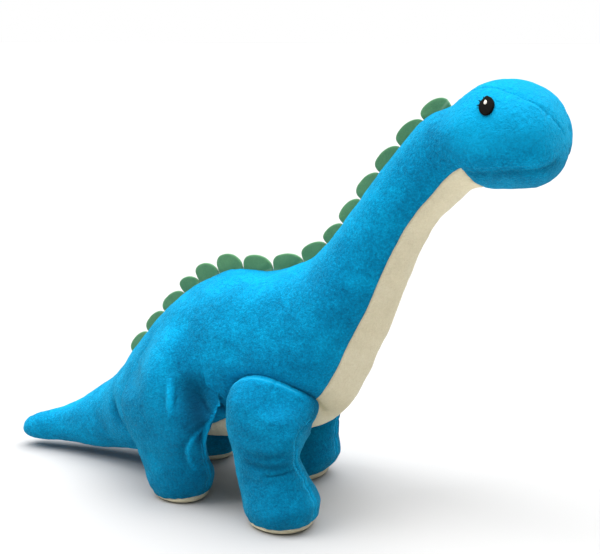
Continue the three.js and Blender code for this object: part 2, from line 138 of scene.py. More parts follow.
HIND_LEG = {
    "outline": [(-159, 102), (-159, 118), (-157, 134), (-150, 150), (-137, 165), (-120, 175), (-102, 177),
                (-86, 171), (-72, 158), (-61, 141), (-54, 122), (-51, 110), (-50, 102)],
    "levels": [(100, -159, -50, 62, 86.5), (94, -158, -50, 62, 87), (76, -153, -58, 57.5, 87),
               (60, -149, -62, 52, 85), (46, -145, -66, 42.5, 82), (28, -140, -67, 28, 80.5),
               (14, -136, -71, 24, 79.5), (6, -132, -74, 25.5, 77), (3.0, -129.5, -76.5, 27.5, 75)],
    "crown": [(100, 86.5), (112, 84), (127, 79), (143, 73), (160, 66), (178, 60)],
    "edge": 44,
    "flat": 44,
    "merges": True,
    "hug": (82, 122),
}
# Each leg's shape and side, how far back it stands and leans, its tilt, and what its toe is shortened by.
LEGS = {
    name: dict(zip(("shape", "mirror", "back", "lean", "tilt", "trim"), values))
    for name, *values in [
        ("front_right", FRONT_LEG, 1, 0, 0, 0, 0), ("front_left", FRONT_LEG, -1, 7, 32, 0.5, 9),
        ("hind_right", HIND_LEG, 1, 0, 0, 0, 0), ("hind_left", HIND_LEG, -1, 4, 34, 0.15, 0),
    ]
}
LEG_TOP = 143
LEG_SHADE = 0.3
LEAN_POWER = 0.75
LEG_BENDS = (0.126, 0.07)  # heights of a span about each leg's hinge
TUBE_POWER = 2.15  # how square a leg is across: 2 is an ellipse
TOP_POWER, TOP_POWER_LESS = 2.3, 0.8  # the same for a front leg's top, and how much rounder its front is
SOLE_SEAM = 3.0
TOE_LIFT = 1.3  # how much higher the seam is sewn at the toe
# The sole's section from its seam inwards: share of the seam's outline, and of its height.
SOLE_PROFILE = [
    (1.0, 1.0), (0.985, 0.72), (0.955, 0.44), (0.915, 0.22), (0.87, 0.08), (0.81, 0.02), (0.74, 0.0),
]

# ---- crest and eyes ----
CREST_FROM_X = -197
SCALLOP_WIDTHS = [33, 32, 33, 23, 26, 29, 33.5, 34.5, 31, 26, 29, 30.5, 30.5, 31, 28]
SCALLOP_HEIGHT = np.array([
    [1, 11], [3, 10.5], [5, 14.5], [6, 15.5], [7, 13], [9, 11.5], [10, 9.5], [12, 10.5], [14, 11], [15, 9.5],
])
SCALLOP_SPACE = 1.2
SCALLOP_LEAN = 4
SCALLOP_FOOT = 5
FELT = 3
EYE = {"ring": 23.3, "angle": 55, "long": 6.3, "tall": 7.9}


def a_crease(path, depth, width, dark):
    """A crease of the right side, along x and z: its depth and half width in mm, and how much shade is
    painted in it.
    """
    return {"path": path, "depth": depth, "width": width, "dark": dark}


# Creases of the body's sides, with painted shade in them.
BODY_CREASES = [
    a_crease([(-197, 84), (-189, 63), (-177, 52)], 3.2, 5.5, 0.5),
    a_crease([(-196, 80), (-188, 62), (-177, 53)], 1.2, 1.6, 0.6),
    a_crease([(-78, 124), (-62, 107), (-46, 88)], 2.8, 4.5, 0.9),
]
# Creases of the legs' outer sides, with painted shade in them.
LEG_CREASES = {
    "front": [
        a_crease([(9, 139), (8, 131), (7, 120)], 0.8, 1.1, 0.35),
        a_crease([(11, 54), (24, 56.5), (37, 61.5)], 1.5, 1.5, 0.6),
        a_crease([(-6, 64.5), (14, 62.5), (37, 67)], 1.6, 4, 0.6),
        a_crease([(-8, 74), (14, 72), (37, 78)], 1.4, 4.5, 0.5),
        a_crease([(-20, 50), (4, 46), (28, 50)], 0.8, 4, 0.15),
        a_crease([(-24, 92), (4, 88), (30, 92)], 0.6, 7, 0.14),
    ],
    "hind": [
        a_crease([(-89, 125), (-86, 110), (-84.5, 96)], 2.2, 2.2, 0.75),
        a_crease([(-99, 124), (-97, 109), (-95, 96)], 1.0, 2.4, 0.3),
        a_crease([(-90, 132), (-79, 121), (-68, 105), (-60, 88), (-57, 66)], 5.0, 14, 0.95),
        a_crease([(-75, 121), (-62, 107), (-49, 92)], 3.2, 3.0, 1.0),
        a_crease([(-56, 84), (-57, 72), (-62, 60)], 2.8, 8, 1.0),
        a_crease([(-70, 74), (-78, 62), (-79, 46)], 1.2, 4, 0.35),
        a_crease([(-146, 52), (-120, 49), (-96, 54)], 0.9, 6, 0.1),
    ],
}
# Pinched folds and seams that stand up from the hind leg's outer side, with a painted highlight along each.
LEG_RIDGES = [
    {"path": [(-94, 125), (-91, 110), (-89.5, 94)], "height": 1.5, "width": 2.4, "light": 1.25},
    {"path": [(-56, 82), (-66, 74), (-73, 63), (-75, 51), (-73, 39)], "height": 0.9, "width": 1.8,
     "light": 1.0},
]


# ---- numbers ----
def smooth(values, t):
    """The value at place t of a row of equally spaced numbers, on a smooth curve through them."""
    last = len(values) - 1
    i = np.clip(np.floor(t).astype(int), 0, last - 1)
    f = t - i
    p0, p1, p2, p3 = (values[np.clip(i + k, 0, last)] for k in (-1, 0, 1, 2))
    slope1 = np.where(i == 0, p2 - p1, (p2 - p0) / 2)
    slope2 = np.where(i + 2 > last, p2 - p1, (p3 - p1) / 2)
    between = (2 * f**3 - 3 * f**2 + 1) * p1 + (3 * f**2 - 2 * f**3) * p2
    return between + (f**3 - 2 * f**2 + f) * slope1 + (f**3 - f**2) * slope2


def step(low, high, x):
    """0 below low, 1 above high, and a smooth rise between them."""
    t = np.clip((x - low) / (high - low), 0, 1)
    return t * t * (3 - 2 * t)


def bell(distance, width):
    return np.exp(-((distance / width) ** 2))


def ripple(points, length, seed, waves=16):
    """A smooth random height over space, with lumps about as long as length. Its spread is 1."""
    random = np.random.default_rng(seed)
    ways = random.normal(size=(waves, 3))
    ways *= (TURN / length * random.uniform(0.7, 1.3, waves) / np.linalg.norm(ways, axis=1))[:, None]
    shift = random.uniform(0, TURN, waves)
    return np.sin(points @ ways.T + shift).sum(-1) * math.sqrt(2 / waves)


def path_distance(x, z, path):
    """How far points are from a line through the path's corners, and their place along it from 0 to 1."""
    corners = np.array(path, float)
    lengths = np.linalg.norm(np.diff(corners, axis=0), axis=1)
    run = np.concatenate([[0], np.cumsum(lengths)])
    nearest = np.full(np.shape(x), 1e9)
    along = np.zeros(np.shape(x))
    for k, (a, b) in enumerate(zip(corners[:-1], corners[1:])):
        d = b - a
        t = np.clip(((x - a[0]) * d[0] + (z - a[1]) * d[1]) / (d @ d), 0, 1)
        away = np.hypot(x - a[0] - t * d[0], z - a[1] - t * d[1])
        closer = away < nearest
        nearest = np.where(closer, away, nearest)
        along = np.where(closer, (run[k] + t * lengths[k]) / run[-1], along)
    return nearest, along


def run_along(line):
    """How far along a line each of its points lies."""
    return np.concatenate([[0], np.cumsum(np.linalg.norm(np.diff(line, axis=0), axis=1))])


def spaced(even, run, line):
    return np.stack([np.interp(even, run, line[:, k]) for k in (0, 1)], 1)


def rounded(path, step_mm=1.0):
    """A smooth line through a path's corners, as points about step_mm apart."""
    corners = np.array(path, float)
    fine = np.linspace(0, len(corners) - 1, 40 * len(corners))
    line = np.stack([smooth(corners[:, 0], fine), smooth(corners[:, 1], fine)], 1)
    run = run_along(line)
    even = np.linspace(0, run[-1], max(int(run[-1] / step_mm), 8) + 1)
    return spaced(even, run, line)


def creased(x, z, creases):
    """How deep a list of creases lies at points, and how much shade is painted there."""
    depth = np.zeros(np.shape(x))
    dark = np.zeros(np.shape(x))
    for crease in creases:
        away, along = path_distance(x, z, rounded(crease["path"], 2.0))
        profile = bell(away, crease["width"]) * np.sin(math.pi * np.clip(along, 0.04, 0.96)) ** 0.6
        depth += crease["depth"] * profile
        dark = np.maximum(dark, crease["dark"] * profile)
    return depth, dark


# ---- the body's surface ----
def body_point(u, angle):
    tx, tz, bx, bz, side, y = (smooth(RINGS[:, k], u) for k in range(6))
    up = np.cos(angle) / 2
    x = (tx + bx) / 2 + (tx - bx) * up
    z = (tz + bz) / 2 + (tz - bz) * up
    return np.stack([x, y - side * np.sin(angle), z], -1)


def under_angle(u):
    return np.radians(np.interp(u, *UNDER_ANGLE.T))


def gusset_angle(u):
    return np.radians(np.interp(u, *GUSSET_ANGLE.T))


SCAN = np.linspace(4, 20, 480)


def body_half_width(x, z):
    """Half the body's width at places of its side view, and 0 outside it."""
    x, z = np.asarray(x, float), np.asarray(z, float)
    tx, tz, bx, bz, side = (smooth(RINGS[:, k], SCAN) for k in range(5))
    cx, cz, hx, hz = (tx + bx) / 2, (tz + bz) / 2, (tx - bx) / 2, (tz - bz) / 2
    px, pz = x.ravel()[:, None], z.ravel()[:, None]
    across = (px - cx) * hz - (pz - cz) * hx
    up = ((px - cx) * hx + (pz - cz) * hz) / (hx**2 + hz**2)
    turns = across[:, 1:] * across[:, :-1] <= 0
    share = np.abs(across[:, :-1]) / (np.abs(across[:, 1:]) + np.abs(across[:, :-1]) + 1e-9)
    cosine = up[:, :-1] + share * np.diff(up, axis=1)
    wide = (side[:-1] + share * np.diff(side)) * np.sqrt(np.clip(1 - cosine**2, 0, None))
    return np.where(turns, wide, 0).max(1).reshape(x.shape)


def stations(start, end, spacing):
    """Ring numbers from start to end, about spacing apart on the surface."""
    fine = np.linspace(start, end, 600)
    line = np.stack([body_point(fine, np.full_like(fine, a)) for a in (0, math.pi / 2, math.pi)])
    lengths = np.linalg.norm(np.diff(line, axis=1), axis=2).max(0)
    run = np.concatenate([[0], np.cumsum(lengths)])
    count = max(int(math.ceil(run[-1] / spacing)), 2)
    return np.interp(np.linspace(0, run[-1], count + 1), run, fine)


def columns(count):
    """Shares from 0 to 1, closer together at both ends, where the seams are."""
    even = np.linspace(0, 1, int(count) + 1)
    return even - 0.55 * np.sin(TURN * even) / TURN


ROW_SPACING = 1.5 * FINE
SIDE_COLUMNS, UNDER_COLUMNS, TOP_COLUMNS = int(120 / FINE), int(52 / FINE), int(44 / FINE)
STRIPS = {
    "right": {"from": gusset_angle, "to": lambda u: math.pi - under_angle(u), "count": SIDE_COLUMNS},
    "under": {"from": lambda u: math.pi - under_angle(u), "to": lambda u: math.pi + under_angle(u),
              "count": UNDER_COLUMNS},
    "left": {"from": lambda u: math.pi + under_angle(u), "to": lambda u: TURN - gusset_angle(u),
             "count": SIDE_COLUMNS},
    "top": {"from": lambda u: TURN - gusset_angle(u), "to": lambda u: TURN + gusset_angle(u),
            "count": TOP_COLUMNS},
}


def body_grid():
    """Ring numbers of the rows, the ring and angle of each grid point, and each strip's first column."""
    knots = [0, 3.9, CREAM_FROM, 9, 15.6, 18.6, CREAM_TO, GUSSET_FROM, LAST_RING]
    rows = [stations(a, b, ROW_SPACING)[:-1] for a, b in zip(knots[:-1], knots[1:])]
    rows = np.concatenate([*rows, [LAST_RING]])
    angles, first = [], {}
    for name, strip in STRIPS.items():
        first[name] = sum(a.shape[1] for a in angles)
        share = columns(strip["count"])[:-1]
        low, high = strip["from"](rows)[:, None], strip["to"](rows)[:, None]
        angles.append(low + (high - low) * share)
    angle = np.concatenate(angles, 1)
    return rows, np.repeat(rows[:, None], angle.shape[1], 1), angle, first


def grid_ids(rows, first, count):
    """The number of each grid point. Points of a strip that has no width yet are one point."""
    ids = np.arange(len(rows) * count).reshape(len(rows), count)
    under = slice(first["under"], first["left"] + 1)
    ids[rows <= CREAM_FROM, under] = ids[rows <= CREAM_FROM, first["under"]][:, None]
    ids[rows <= GUSSET_FROM, first["top"]:] = ids[rows <= GUSSET_FROM, 0][:, None]
    return np.concatenate([ids, ids[:, :1]], 1)


def numbered(height, width):
    """The numbers of a grid's points, with the first column again after the last."""
    ids = np.arange(height * width).reshape(height, width)
    return np.concatenate([ids, ids[:, :1]], 1)


def quads_of(ids):
    """The faces between the points of a grid, facing outwards."""
    return np.stack([ids[:-1, :-1], ids[:-1, 1:], ids[1:, 1:], ids[1:, :-1]], -1)


def vertex_normals(points, faces):
    a, b, c, d = (points[faces[:, k]] for k in range(4))
    square = np.cross(c - a, d - b)
    total = np.stack([
        np.bincount(faces.ravel(), np.repeat(square[:, k], 4), len(points)) for k in range(3)
    ], 1)
    return total / np.maximum(np.linalg.norm(total, axis=1), 1e-12)[:, None]


def stuffing(points):
    """The soft lumps of the filling under the cloth, in mm."""
    return (0.5 * ripple(points, 62, 3) + 0.22 * ripple(points, 30, 4)
            + 0.08 * ripple(points, 13, 5) + tufts(points))


def tufts(points):
    """The uneven height of the plush's fibres, where they hold together in small tufts."""
    return 0.045 * ripple(points, 7, 6, 24) + 0.04 * ripple(points, 4.2, 7, 32)


def seam_relief(distance, along, seed, depth=1.3, width=1.3, valley=1.0, pucker=0.35):
    """The height of cloth beside a seam, with small gathers along it, and how much shade is painted there."""
    place = np.stack([along, 0 * along, 0 * along], -1)
    gathers = ripple(place, 7.5, seed, 8)
    height = -depth * bell(distance, width) - valley * bell(distance, 6)
    height += pucker * gathers * bell(np.abs(distance) - 2.6, 3.4)
    return height, bell(distance, width * 1.15)


UNDER_SEAM = {"depth": 0.45, "width": 1.1, "valley": 0.45, "pucker": 0.14}
GUSSET_SEAM = {"depth": 0.7, "width": 1.3, "valley": 0.45, "pucker": 0.3}
CHIN_SEAM = {"depth": 0.7, "width": 1.1, "valley": 0.6, "pucker": 0.2}


def body_relief(points, u, angle):
    """How far the body's cloth stands off its rings, and the shade and highlight painted on it, -1 dark to 1
    light.
    """
    nudge = 0.01
    per_angle = np.linalg.norm(body_point(u, angle + nudge) - body_point(u, angle), axis=-1) / nudge
    along_u = np.clip(u, 0, LAST_RING - nudge)
    along = body_point(along_u + nudge, angle) - body_point(along_u, angle)
    per_ring = np.linalg.norm(along, axis=-1) / nudge
    place = RING_PITCH * u
    height = stuffing(points)
    dark = np.zeros(u.shape)

    def seam(at, seed, **sizes):
        slope = (at(u + nudge) - at(u)) / nudge * per_angle / np.maximum(per_ring, 1e-6)
        off = (angle - at(u) + math.pi) % TURN - math.pi
        return seam_relief(off * per_angle / np.hypot(1, slope), place, seed, **sizes)

    ends = step(0, 1.4, u) * (1 - step(27.2, 27.9, u))
    # The seams beside the under strip and the gusset, with painted shade along them.
    for at, seed, sizes in [
        (lambda r: math.pi - under_angle(r), 11, UNDER_SEAM),
        (lambda r: math.pi + under_angle(r), 12, UNDER_SEAM),
        (gusset_angle, 13, GUSSET_SEAM),
        (lambda r: -gusset_angle(r), 14, GUSSET_SEAM),
    ]:
        low, shade = seam(at, seed, **sizes)
        # Where both seams of a strip meet in one, each gives half of it.
        alone = 0.5 * (1 + step(0, 0.1, np.abs(np.sin(at(u)))))
        height += low * ends * alone
        dark = np.maximum(dark, shade * ends * np.where(u > CREAM_TO, 0.14, 0.34))

    # The seam between the cream front panel and the chin panel, with painted shade along it.
    between = step(-0.02, 0.12, under_angle(u) - np.abs(angle - math.pi))
    low, shade = seam_relief((u - CREAM_TO) * per_ring, angle * 40, 15, **CHIN_SEAM)
    height += low * between
    dark = np.maximum(dark, shade * between * 0.4)
    # The chin panel lies lower than the side panels where they meet, and shade is painted over it, darkest
    # near its edges.
    chin = between * step(CREAM_TO, CREAM_TO + 0.5, u) * (1 - step(26.5, 27.6, u))
    edge = (under_angle(u) - np.abs(angle - math.pi)) * per_angle
    height -= 1.3 * chin * bell(edge, 9)
    dark = np.maximum(dark, 0.5 * chin * (0.35 + 0.65 * bell(edge - 2, 9)))
    # The nape is pulled in behind the head, and the skull and the chin are stuffed a little flatter.
    upwards = step(0.3, 0.95, np.cos(angle))
    height -= 3.6 * bell(u - 21.3, 0.75) * upwards
    height -= 2.4 * bell(u - 24.3, 1.3) * upwards
    height -= 3.2 * bell(u - 23.4, 1.5) * step(0.3, 0.95, -np.cos(angle))
    # A highlight is painted on the head except the chin, brighter on its gusset, and on the top of the back.
    light = 0.85 * step(20.4, 22.4, u) * (1 - chin) * step(0.1, 0.6, np.cos(angle) + 0.55)
    top = gusset_angle(u) - np.abs((angle + math.pi) % TURN - math.pi)
    light += 0.9 * step(-0.05, 0.3, top) * bell(u - 24.2, 1.5)
    light += 0.35 * step(4, 10, u) * (1 - step(19, 21, u)) * step(0.55, 0.95, np.cos(angle))
    return height, dark - light * (1 - dark)


# ---- materials ----
def node_tree(name):
    material = bpy.data.materials.new(name)
    material.use_nodes = True
    tree = material.node_tree
    return material, tree, tree.nodes["Principled BSDF"]


def fill(node, **values):
    """Sets a node's own sockets. An underscore in a name stands for a space."""
    for key, value in values.items():
        node.inputs[key.replace("_", " ")].default_value = value


def add_node(tree, kind, **values):
    node = tree.nodes.new(kind)
    for key, value in values.items():
        setattr(node, key, value)
    return node


def add_bump(tree, shader, height, strength, distance):
    bump = add_node(tree, "ShaderNodeBump")
    fill(bump, Strength=strength, Distance=distance)
    tree.links.new(height, bump.inputs["Height"])
    tree.links.new(bump.outputs["Normal"], shader.inputs["Normal"])


def noise(tree, where, scale, detail=2.0, rough=0.5, distortion=0.0):
    node = add_node(tree, "ShaderNodeTexNoise")
    fill(node, Scale=scale, Detail=detail, Roughness=rough, Distortion=distortion)
    tree.links.new(where, node.inputs["Vector"])
    return node.outputs["Fac"]


def spread(tree, value, low, high, to_low=0.0, to_high=1.0):
    node = add_node(tree, "ShaderNodeMapRange")
    for key, number in zip(("From Min", "From Max", "To Min", "To Max"), (low, high, to_low, to_high)):
        node.inputs[key].default_value = number
    tree.links.new(value, node.inputs["Value"])
    return node.outputs["Result"]


def arithmetic(tree, operation, a, b):
    node = add_node(tree, "ShaderNodeMath", operation=operation)
    for socket, value in zip(node.inputs, (a, b)):
        if isinstance(value, (int, float)):
            socket.default_value = value
        else:
            tree.links.new(value, socket)
    return node.outputs["Value"]


def mixed(tree, share, a, b, blend="MIX"):
    node = add_node(tree, "ShaderNodeMix", data_type="RGBA", blend_type=blend)
    sockets = [s for s in node.inputs if s.enabled]
    for socket, value in zip(sockets, (share, a, b)):
        if isinstance(value, (int, float, tuple)):
            socket.default_value = value
        else:
            tree.links.new(value, socket)
    return next(s for s in node.outputs if s.enabled)


def attribute(tree, name):
    return add_node(tree, "ShaderNodeAttribute", attribute_name=name)


def plush(name, deep, middle, light, pale, painted_shade, sheen, sheen_tint, contrast):
    """Short velvety plush: patches where its fibres point another way, and speckle, with painted shade at
    seams and creases and painted highlights.
    """
    material, tree, shader = node_tree(name)
    rest = attribute(tree, "rest").outputs["Vector"]
    painted_light_and_shade = attribute(tree, "painted_light_and_shade").outputs["Fac"]

    patches = spread(tree, noise(tree, rest, 24, 3, 0.55, 0.6), 0.3, 0.7)
    strokes = spread(tree, noise(tree, rest, 95, 3, 0.6, 1.2), 0.3, 0.7)
    clumps = spread(tree, noise(tree, rest, 460, 3, 0.7), 0.32, 0.68)
    speckle = spread(tree, noise(tree, rest, 950, 2, 0.6), 0.25, 0.75)
    tone = arithmetic(tree, "MULTIPLY", patches, 0.3)
    for part, share in ((strokes, 0.14), (clumps, 0.32), (speckle, 0.24)):
        tone = arithmetic(tree, "ADD", tone, arithmetic(tree, "MULTIPLY", part, share))
    tone = spread(tree, tone, 0.5 - 0.5 / contrast, 0.5 + 0.5 / contrast)
    ramp = add_node(tree, "ShaderNodeValToRGB")
    ramp.color_ramp.elements[0].color = (*deep, 1)
    ramp.color_ramp.elements[1].color = (*light, 1)
    ramp.color_ramp.elements.new(0.5).color = (*middle, 1)
    tree.links.new(tone, ramp.inputs["Fac"])
    # Painted shade towards the shade colour where a point's painted light and shade is below 0; painted
    # highlight towards the light colour above 0, and towards the pale colour above 1.
    shaded = arithmetic(tree, "MAXIMUM", arithmetic(tree, "MULTIPLY", painted_light_and_shade, -1.0), 0.0)
    painted_highlight = arithmetic(tree, "MAXIMUM", painted_light_and_shade, 0.0)
    colour = mixed(tree, shaded, ramp.outputs["Color"], (*painted_shade, 1))
    colour = mixed(tree, arithmetic(tree, "MULTIPLY", painted_highlight, 0.55), colour, (*light, 1))
    colour = mixed(tree, spread(tree, painted_light_and_shade, 1, 2), colour, (*pale, 1))
    tree.links.new(colour, shader.inputs["Base Color"])

    rough = spread(tree, arithmetic(tree, "ADD", patches, speckle), 0, 2, 0.72, 0.95)
    tree.links.new(rough, shader.inputs["Roughness"])
    fill(shader, Specular_IOR_Level=0.05, Sheen_Weight=sheen, Sheen_Roughness=0.3,
         Sheen_Tint=(*sheen_tint, 1))

    fibres = arithmetic(tree, "ADD", noise(tree, rest, 850, 3, 0.7),
                        arithmetic(tree, "MULTIPLY", noise(tree, rest, 300, 3, 0.65, 0.8), 1.8))
    add_bump(tree, shader, fibres, 0.8, 0.0013)
    return material


def felt():
    material, tree, shader = node_tree("green_felt")
    rest = attribute(tree, "rest").outputs["Vector"]
    painted_light_and_shade = attribute(tree, "painted_light_and_shade").outputs["Fac"]
    matted = spread(tree, noise(tree, rest, 480, 4, 0.7, 1.5), 0.3, 0.7)
    cloudy = spread(tree, noise(tree, rest, 60, 2, 0.5), 0.3, 0.7)
    tone = arithmetic(tree, "ADD", arithmetic(tree, "MULTIPLY", matted, 0.6),
                      arithmetic(tree, "MULTIPLY", cloudy, 0.4))
    colour = mixed(tree, tone, (0.072, 0.225, 0.098, 1), (0.112, 0.300, 0.142, 1))
    # A pale green highlight is painted along the scallops' edges and near their feet.
    colour = mixed(tree, arithmetic(tree, "MAXIMUM", painted_light_and_shade, 0.0), colour, (0.35, 0.5, 0.33, 1))
    tree.links.new(colour, shader.inputs["Base Color"])
    tree.links.new(spread(tree, matted, 0, 1, 0.85, 1.0), shader.inputs["Roughness"])
    fill(shader, Specular_IOR_Level=0.2, Sheen_Weight=0.15, Sheen_Roughness=0.5)
    add_bump(tree, shader, matted, 0.5, 0.0006)
    return material


def thread(name, dark, light, rough, shine):
    """Embroidery thread: twisted strands, with a soft shine."""
    material, tree, shader = node_tree(name)
    rest = attribute(tree, "rest").outputs["Vector"]
    twist = spread(tree, noise(tree, rest, 1500, 2, 0.5, 2.0), 0.3, 0.7)
    tree.links.new(mixed(tree, twist, (*dark, 1), (*light, 1)), shader.inputs["Base Color"])
    tree.links.new(spread(tree, twist, 0, 1, rough, rough + 0.15), shader.inputs["Roughness"])
    fill(shader, Specular_IOR_Level=shine)
    add_bump(tree, shader, twist, 0.4, 0.0002)
    return material


# Each plush's colours: deep, middle and light for its random tone, the light one also for painted highlights,
# then the pale painted highlight and the painted shade.
BLUE = plush("blue_plush", (0.0004, 0.13, 0.275), (0.0006, 0.27, 0.525), (0.003, 0.45, 0.80),
             (0.12, 0.62, 0.86), (0.0005, 0.045, 0.10), 0.4, (0.12, 0.75, 1.0), 1.5)
CREAM = plush("cream_plush", (0.78, 0.69, 0.47), (0.88, 0.79, 0.56), (0.95, 0.88, 0.66),
              (0.97, 0.93, 0.8), (0.34, 0.30, 0.13), 0.15, (1.0, 0.97, 0.88), 1.3)
GREEN = felt()
BLACK = thread("black_thread", (0.0025, 0.0023, 0.002), (0.008, 0.0075, 0.006), 0.55, 0.04)
WHITE = thread("white_thread", (0.74, 0.70, 0.58), (0.9, 0.87, 0.78), 0.5, 0.3)


# ---- pieces ----
def placed(name, data):
    thing = bpy.data.objects.new(name, data)
    bpy.context.scene.collection.objects.link(thing)
    return thing


def turned(quads, normals, inwards):
    """Faces and normals as they are, or the other way round."""
    return (quads[:, ::-1], -normals) if inwards else (quads, normals)


def make_piece(name, points, normals, faces, painted_light_and_shade, material):
    """A mesh of those faces. Its shading follows the normals, so that neighbouring pieces meet smoothly."""
    corners = [list(dict.fromkeys(face)) for face in faces.tolist()]
    corners = [face for face in corners if len(face) > 2]
    sizes = np.array([len(face) for face in corners])
    flat = np.concatenate([np.array(face) for face in corners])
    used = np.unique(flat)
    number = np.full(len(points), -1)
    number[used] = np.arange(len(used))
    mesh = bpy.data.meshes.new(name)
    mesh.vertices.add(len(used))
    places = (points[used] * MM).astype(np.float32).ravel()
    mesh.vertices.foreach_set("co", places)
    mesh.loops.add(len(flat))
    mesh.loops.foreach_set("vertex_index", number[flat].astype(np.int32))
    mesh.polygons.add(len(sizes))
    mesh.polygons.foreach_set("loop_start", (np.cumsum(sizes) - sizes).astype(np.int32))
    mesh.polygons.foreach_set("use_smooth", np.ones(len(sizes), bool))
    mesh.update(calc_edges=True)
    mesh.normals_split_custom_set_from_vertices(normals[used].tolist())
    rest = mesh.attributes.new("rest", "FLOAT_VECTOR", "POINT")
    rest.data.foreach_set("vector", places)
    # The light and shade painted on each point: below 0 painted shade, above 0 painted highlight.
    shading_layer = mesh.attributes.new("painted_light_and_shade", "FLOAT", "POINT")
    shading_layer.data.foreach_set("value", painted_light_and_shade[used].astype(np.float32))
    piece = placed(name, mesh)
    mesh.materials.append(material)
    return piece


JOINTS = {joint["name"]: joint for joint in frame["joints"]}


def bend_at(piece, stretch):
    """Bakes a piece of cloth's place into its mesh, and works out a span about the joint that its stretch of
    the body has.
    """
    joint = JOINTS[stretch["joint"]]
    ring = RINGS[stretch["at"]]
    across = Vector((ring[0] - ring[2], 0, ring[1] - ring[3])).normalized()
    ahead = Vector((across.z, 0, -across.x))
    pivot = Vector(joint["pos_m"])
    behind, before = stretch["reach"]
    start, end = pivot - ahead * behind, pivot + ahead * before
    if stretch["joint"].startswith("tail"):
        start, end = end, start
    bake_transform(piece)
    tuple(start)
    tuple(end)


def stretch_of(ring):
    return next(s for s in STRETCHES if ring <= s["rings"][1])


FILLINGS = {
    "tail_end": ["tail_tip_filling"], "tail_base": ["tail_root_filling"],
    "neck_base": ["trunk_filling", "neck_lower_filling"], "neck_top": ["neck_upper_filling"],
    "head": ["head_filling"],
}


def leg_place(leg, x, z):
    """Where a point of a leg's own side view is in the body's, for a leg that leans back."""
    back = leg["back"] + leg["lean"] * np.clip(1 - z / LEG_TOP, 0, None) ** LEAN_POWER
    return x - back


def body_creases(points, angle):
    """The creases of the body's cloth on both sides, and along the edges of the front legs, with the shade
    painted in them.
    """
    depth, dark = np.zeros(angle.shape), np.zeros(angle.shape)
    right = angle % TURN < math.pi
    for side, leg in ((right, LEGS["front_right"]), (~right, LEGS["front_left"])):
        x, z = points[side][:, 0], points[side][:, 2]
        low, shade = creased(x, z, shifted(BODY_CREASES))
        line = rounded(shifted([leg["shape"]])[0]["outline"])
        line[:, 0] = leg_place(leg, line[:, 0], line[:, 1])
        away, _ = path_distance(x, z, line)
        depth[side] = low + 1.6 * bell(away, 4.5)
        # Painted shade along the front leg's edge, and a fainter, wider painted shade around it.
        dark[side] = np.maximum(shade, 0.6 * bell(away, 2.6))
        dark[side] = np.maximum(dark[side], 0.22 * bell(away, 12))
    return depth, dark


def shifted(shapes):
    """Paths and outlines in the frame's x."""
    moved = []
    for shape in shapes:
        copy = dict(shape)
        for key in ("path", "outline"):
            if key in shape:
                copy[key] = [(x + MIDDLE_X, z) for x, z in shape[key]]
        moved.append(copy)
    return moved


def build_body():
    rows, u, angle, first = body_grid()
    ids = grid_ids(rows, first, u.shape[1])
    quads = quads_of(ids)
    points = body_point(u, angle).reshape(-1, 3)
    normals = vertex_normals(points, quads.reshape(-1, 4))
    height, dark = body_relief(points.reshape(*u.shape, 3), u, angle)
    depth, shade = body_creases(points, angle.ravel())
    height = height.ravel() - depth
    # Where no crease reaches, the painted highlight, which is below 0, stays.
    dark = np.maximum(dark.ravel(), np.where(shade > 0.02, shade, -1))
    points = points + normals * height[:, None]
    # The ends of the tail and the nose are closed with one point each.
    tips = np.array([points[ids[0, :-1]].mean(0), points[ids[-1, :-1]].mean(0)])
    points = np.concatenate([points, tips])
    tail, nose = len(points) - 2, len(points) - 1
    ring = np.arange(u.shape[1])
    caps = [np.stack([np.full(len(ring), tail), ids[0, ring + 1], ids[0, ring], ids[0, ring]], 1),
            np.stack([np.full(len(ring), nose), ids[-1, ring], ids[-1, ring + 1], ids[-1, ring + 1]], 1)]
    normals = vertex_normals(points, np.concatenate([quads.reshape(-1, 4), *caps]))
    painted_light_and_shade = np.concatenate([-dark, [0, 0]])
    bounds = {**first, "end": u.shape[1]}
    order = list(STRIPS) + ["end"]

    for stretch in STRETCHES:
        low, high = stretch["rings"]
        for strip, after in zip(order[:-1], order[1:]):
            cells = slice(bounds[strip], bounds[after])
            parts = [(low, high, "")]
            if strip == "under":
                parts = [(max(low, CREAM_FROM), min(high, CREAM_TO), "front"),
                         (max(low, CREAM_TO), high, "chin")]
            if strip == "top":
                parts = [(max(low, GUSSET_FROM), high, "forehead")]
            for start, end, form in parts:
                if end <= start:
                    continue
                inside = (rows[:-1] >= start - 1e-9) & (rows[1:] <= end + 1e-9)
                faces = quads[inside][:, cells].reshape(-1, 4)
                for cap, at_end in zip(caps, (start == 0, end == LAST_RING)):
                    if at_end:
                        faces = np.concatenate([faces, cap[cells]])
                cream = form == "front"
                label = f"{form or 'side_' + strip}_{stretch['name']}"
                piece = make_piece(label, points, normals, faces, painted_light_and_shade,
                                   CREAM if cream else BLUE)
                bend_at(piece, stretch)
                node = {"front": "front_panel", "chin": "chin_panel", "forehead": "forehead_gusset"}
                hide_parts(node.get(form, f"side_panel_{strip}"))
                if strip == "right":
                    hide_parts(*FILLINGS[stretch["name"]])


build_body()


